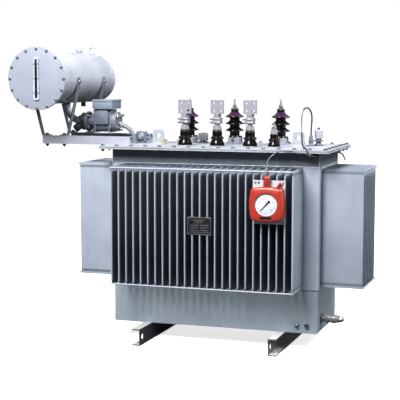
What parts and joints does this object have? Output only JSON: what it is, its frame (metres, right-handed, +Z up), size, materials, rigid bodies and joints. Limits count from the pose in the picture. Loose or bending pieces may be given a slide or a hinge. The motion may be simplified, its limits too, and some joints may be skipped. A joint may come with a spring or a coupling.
{
  "type": "power transformer",
  "caption": "Oil-filled distribution transformer with corrugated cooling walls, skid channels, a conservator drum, porcelain bushings and a dial thermometer.",
  "frame": {"origin": "centre of the four foundation bolt holes, on the ground", "axes": "+X along the tank's long side away from the conservator, +Y from the low-voltage side to the high-voltage side, +Z up"},
  "size_m": [2.0948, 1.0013, 1.758],
  "materials": {
    "tank_paint": "satin blue-grey paint over welded sheet",
    "dark_steel": "satin dark grey paint over rolled steel",
    "core_steel": "varnished core sheet and wrapped windings",
    "gasket": "matt black rubber",
    "gauge_frame": "light satin paint",
    "cast_iron": "dark painted casting",
    "relay_casting": "satin blue-grey paint over a casting",
    "porcelain": "dark brown gloss glaze",
    "plated_metal": "bright tin plating",
    "red_case": "red satin moulding",
    "black_plate": "black enamel with bright edges",
    "cable_sheath": "light grey ribbed flexible sheath"
  },
  "bodies": {
    "root": {"skid_left": "dark_steel", "skid_right": "dark_steel", "tank_floor": "tank_paint", "lower_tank": "tank_paint", "corrugated_wall_front": "tank_paint", "corrugated_wall_back": "tank_paint", "corrugated_wall_left": "tank_paint", "corrugated_wall_right": "tank_paint", "fin_tie_bars": "tank_paint", "tank_collar": "tank_paint", "tank_flange": "tank_paint", "cover_gasket": "gasket", "cover_plate": "tank_paint", "conservator_shell": "tank_paint", "conservator_front_cover": "tank_paint", "conservator_rear_end": "tank_paint", "oil_level_gauge": "gauge_frame", "conservator_filler_cap": "tank_paint", "conservator_rail_front": "tank_paint", "conservator_rail_rear": "tank_paint", "conservator_arms": "tank_paint", "relay_pipe_upper": "tank_paint", "relay_shutoff_valve": "cast_iron", "gas_relay_body": "relay_casting", "relay_terminal_box": "relay_casting", "relay_pipe_lower": "tank_paint", "relay_cocks": "cast_iron", "wall_end_strips": "tank_paint", "core_and_windings": "core_steel", "hv_bushing_1": "porcelain", "hv_bushing_2": "porcelain", "hv_bushing_3": "porcelain", "hv_turrets": "tank_paint", "hv_terminals": "plated_metal", "lv_bushing_1": "porcelain", "lv_bushing_2": "porcelain", "lv_bushing_3": "porcelain", "lv_neutral_bushing": "porcelain", "lv_terminals": "plated_metal", "lv_seat_rings": "plated_metal", "tap_changer_handle": "relay_casting", "lifting_lugs": "tank_paint", "pressure_relief_valve": "relay_casting", "thermometer_pocket": "cast_iron", "filling_valve": "relay_casting", "thermometer_bracket": "gauge_frame", "thermometer_case": "red_case", "line_clip": "cast_iron", "thermometer_line": "cable_sheath", "bulb_line": "cable_sheath", "nameplate": "black_plate", "drain_valve": "cast_iron", "earth_terminals": "plated_metal"}
  },
  "joints": []
}
